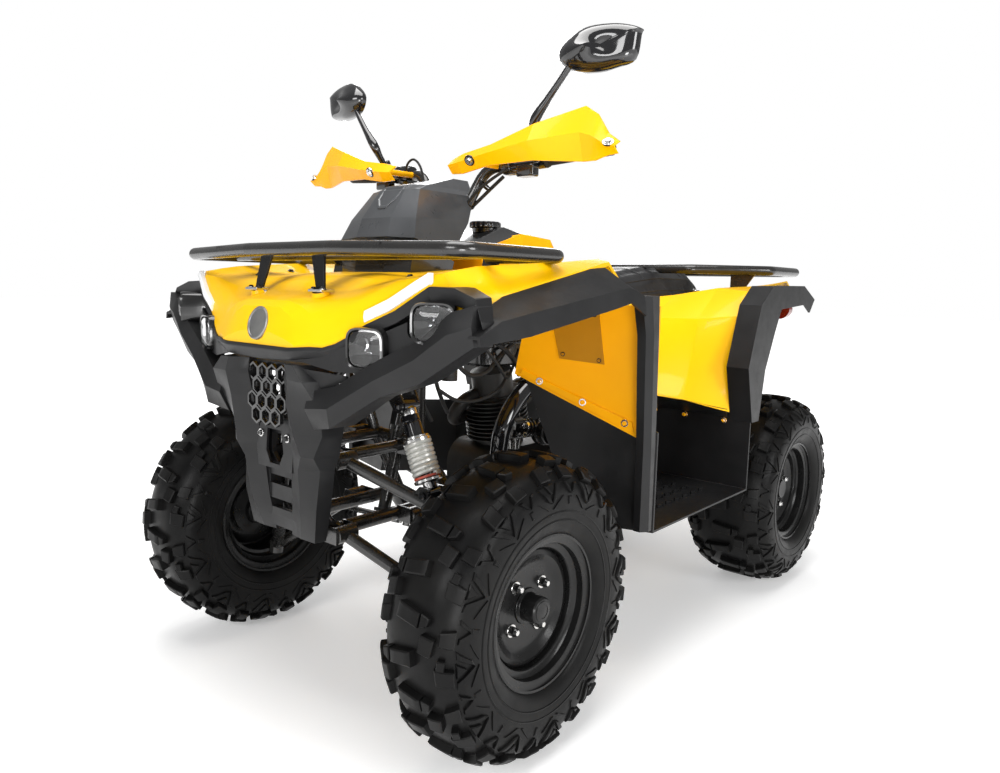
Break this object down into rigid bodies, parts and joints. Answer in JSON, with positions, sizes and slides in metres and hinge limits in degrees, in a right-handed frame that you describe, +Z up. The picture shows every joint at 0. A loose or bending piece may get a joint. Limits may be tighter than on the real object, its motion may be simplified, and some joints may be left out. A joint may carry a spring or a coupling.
{
  "type": "quad bike",
  "caption": "Utility quad bike with faceted plastic bodywork, hex-mesh grille, lug tyres, luggage racks, and steering, wheels and tie rods that move.",
  "frame": {"origin": "on the ground, in the middle of the length and the width", "axes": "-Y to the front, +X to the machine's left, +Z up"},
  "size_m": [1.054, 1.762, 1.3751],
  "materials": {
    "tyre": "matt",
    "rim_black": "satin",
    "hub_steel": "brushed",
    "forged_steel": "satin",
    "frame_paint": "satin",
    "shock_steel": "satin",
    "bar_steel": "satin",
    "grip_rubber": "matt",
    "engine_alloy": "cast",
    "exhaust_steel": "satin",
    "chain_steel": "oiled",
    "plate_alloy": "satin",
    "yellow_plastic": "gloss",
    "black_plastic": "matt",
    "lamp_lens": "clear",
    "tail_lens": "gloss",
    "silver_plastic": "satin",
    "seat_vinyl": "grained",
    "mirror_shell": "satin"
  },
  "bodies": {
    "chassis": {"frame": "frame_paint", "belly_plate": "plate_alloy", "engine": "engine_alloy", "exhaust": "exhaust_steel", "front_bumper": "black_plastic", "grille": "black_plastic", "front_fascia": "black_plastic", "headlamps": "lamp_lens", "hood": "yellow_plastic", "front_flares": "black_plastic", "arch_panels": "yellow_plastic", "footwells": "black_plastic", "pod_base": "black_plastic", "tank_cover": "black_plastic", "fuel_cap": "black_plastic", "seat": "seat_vinyl", "rear_fender": "black_plastic", "rear_flares": "black_plastic", "tail_lamps": "tail_lens", "front_rack": "frame_paint", "rear_rack": "frame_paint", "tow_hitch": "frame_paint", "chain": "chain_steel", "upper_arms": "frame_paint", "lower_arms": "frame_paint", "front_shocks": "shock_steel", "swingarm": "frame_paint", "rear_shock": "shock_steel"},
    "steering": {"steering_column": "forged_steel", "handlebar": "bar_steel", "grips": "grip_rubber", "handguards": "yellow_plastic", "mirrors": "mirror_shell", "controls": "black_plastic", "console_pod": "silver_plastic"},
    "knuckle_l": {"knuckle_left": "forged_steel"},
    "knuckle_r": {"knuckle_right": "forged_steel"},
    "tie_rod_l": {"tie_rod_left": "forged_steel"},
    "tie_rod_r": {"tie_rod_right": "forged_steel"},
    "wheel_fl": {"front_tyre_left": "tyre", "front_rim_left": "rim_black", "front_hub_left": "hub_steel"},
    "wheel_fr": {"front_tyre_right": "tyre", "front_rim_right": "rim_black", "front_hub_right": "hub_steel"},
    "rear_axle_set": {"rear_axle": "hub_steel", "rear_tyre_left": "tyre", "rear_rim_left": "rim_black", "rear_tyre_right": "tyre", "rear_rim_right": "rim_black"}
  },
  "joints": [
    {"name": "steering_turn", "type": "hinge", "parent": "chassis", "child": "steering", "pos_m": [0, -0.5495, 0.355], "axis": [0, 0.2672, 0.9636], "range_deg": [-35, 35]},
    {"name": "knuckle_turn_l", "type": "hinge", "parent": "chassis", "child": "knuckle_l", "pos_m": [0.35, -0.598, 0.203], "axis": [-0.131, 0.0419, 0.9905], "range_deg": [-27.83, 27.83]},
    {"name": "knuckle_turn_r", "type": "hinge", "parent": "chassis", "child": "knuckle_r", "pos_m": [-0.35, -0.598, 0.203], "axis": [0.131, 0.0419, 0.9905], "range_deg": [-27.83, 27.83]},
    {"name": "tie_rod_turn_l", "type": "hinge", "parent": "knuckle_l", "child": "tie_rod_l", "pos_m": [0.31594, -0.5085, 0.30933], "axis": [-0.131, 0.0419, 0.9905], "range_deg": [-31.66, 31.66]},
    {"name": "tie_rod_turn_r", "type": "hinge", "parent": "knuckle_r", "child": "tie_rod_r", "pos_m": [-0.31594, -0.5085, 0.30933], "axis": [0.131, 0.0419, 0.9905], "range_deg": [-31.66, 31.66]},
    {"name": "front_wheel_spin_l", "type": "hinge", "parent": "knuckle_l", "child": "wheel_fl", "pos_m": [0.425, -0.598, 0.283], "axis": [1, 0, 0], "continuous": true},
    {"name": "front_wheel_spin_r", "type": "hinge", "parent": "knuckle_r", "child": "wheel_fr", "pos_m": [-0.425, -0.598, 0.283], "axis": [1, 0, 0], "continuous": true},
    {"name": "rear_axle_spin", "type": "hinge", "parent": "chassis", "child": "rear_axle_set", "pos_m": [0, 0.602, 0.279], "axis": [1, 0, 0], "continuous": true}
  ],
  "couplings": [
    {"joint": "knuckle_turn_l", "follows": "steering_turn", "ratio": 0.7895},
    {"joint": "knuckle_turn_r", "follows": "steering_turn", "ratio": 0.7895},
    {"joint": "tie_rod_turn_l", "follows": "steering_turn", "ratio": -0.8989},
    {"joint": "tie_rod_turn_r", "follows": "steering_turn", "ratio": -0.8989}
  ]
}
